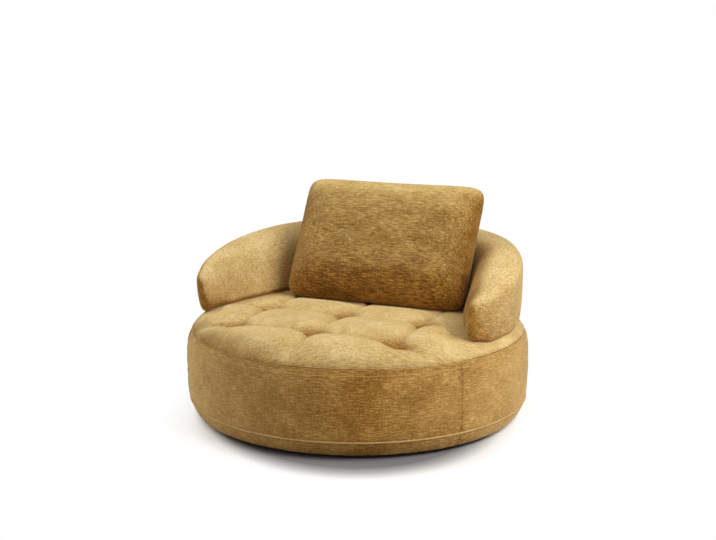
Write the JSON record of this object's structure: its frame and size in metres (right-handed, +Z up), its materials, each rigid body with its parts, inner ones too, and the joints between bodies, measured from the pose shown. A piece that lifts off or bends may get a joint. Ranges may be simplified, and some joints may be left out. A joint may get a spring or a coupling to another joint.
{
  "type": "round swivel armchair",
  "caption": "Low round upholstered armchair with a blind tufted seat, a padded crescent back and arms, and a loose back pillow, turning on a hidden ball bearing swivel.",
  "frame": {"origin": "on the floor, on the swivel axis, at the centre of the base of the bounding box", "axes": "+Z up; the chair faces -Y; +X is the sitter's left, on the right of someone who faces the chair"},
  "size_m": [1.3, 1.3, 0.8375],
  "materials": {
    "chenille": "thick golden chenille with short horizontal slubs",
    "chenille_piping": "chenille over a thin cord",
    "foam": "cream polyurethane foam",
    "fibre": "white polyester fibre filling",
    "plywood": "birch plywood",
    "hardboard": "bent brown hardboard",
    "zinc": "zinc plated pressed steel",
    "screw": "zinc plated screws",
    "bearing_steel": "polished bearing balls",
    "nylon": "moulded black nylon",
    "felt": "grey felt glide",
    "lining": "black non-woven lining",
    "tie": "white nylon tufting tie",
    "zip": "zip tape"
  },
  "bodies": {
    "floor_base": {"floor_board": "plywood", "floor_glide_1": "felt", "floor_glide_2": "felt", "floor_glide_3": "felt", "floor_glide_4": "felt", "floor_glide_5": "felt", "floor_glide_6": "felt", "lower_plate_screw_1": "screw", "lower_plate_screw_2": "screw", "lower_plate_screw_3": "screw", "lower_plate_screw_4": "screw", "swivel_lower_plate": "zinc", "swivel_pivot": "zinc"},
    "bearing": {"bearing_ball_1": "bearing_steel", "bearing_ball_2": "bearing_steel", "bearing_ball_3": "bearing_steel", "bearing_ball_4": "bearing_steel", "bearing_ball_5": "bearing_steel", "bearing_ball_6": "bearing_steel", "bearing_ball_7": "bearing_steel", "bearing_ball_8": "bearing_steel", "bearing_cage": "nylon"},
    "seat": {"back_cover": "chenille", "back_foam": "foam", "back_frame": "plywood", "base_board": "plywood", "dust_cover": "lining", "hem_band": "chenille", "hem_piping": "chenille_piping", "rib_notched_above": "plywood", "rib_notched_below": "plywood", "seat_deck": "plywood", "seat_foam": "foam", "seat_pad": "chenille", "side_cover": "chenille", "side_foam": "foam", "side_hoop": "hardboard", "skirt_ring": "plywood", "swivel_upper_plate": "zinc", "tuft_tie_1": "tie", "tuft_tie_2": "tie", "tuft_tie_3": "tie", "tuft_tie_4": "tie", "tuft_tie_5": "tie", "tuft_tie_6": "tie", "tuft_tie_7": "tie", "tuft_tie_8": "tie", "tuft_tie_9": "tie", "upper_plate_screw_1": "screw", "upper_plate_screw_2": "screw", "upper_plate_screw_3": "screw", "upper_plate_screw_4": "screw"},
    "pillow": {"pillow_cover": "chenille", "pillow_filling": "fibre", "pillow_zip": "zip"}
  },
  "joints": [
    {"name": "seat_swivel", "type": "hinge", "parent": "floor_base", "child": "seat", "pos_m": [0, 0, 0], "axis": [0, 0, 1], "continuous": true},
    {"name": "cage_spin", "type": "hinge", "parent": "floor_base", "child": "bearing", "pos_m": [0, 0, 0], "axis": [0, 0, 1], "continuous": true},
    {"name": "pillow_lift", "type": "slide", "parent": "seat", "child": "pillow", "axis": [0, 0, 1], "range_m": [0, 0.45]}
  ],
  "couplings": [
    {"joint": "cage_spin", "follows": "seat_swivel", "ratio": 0.5}
  ]
}
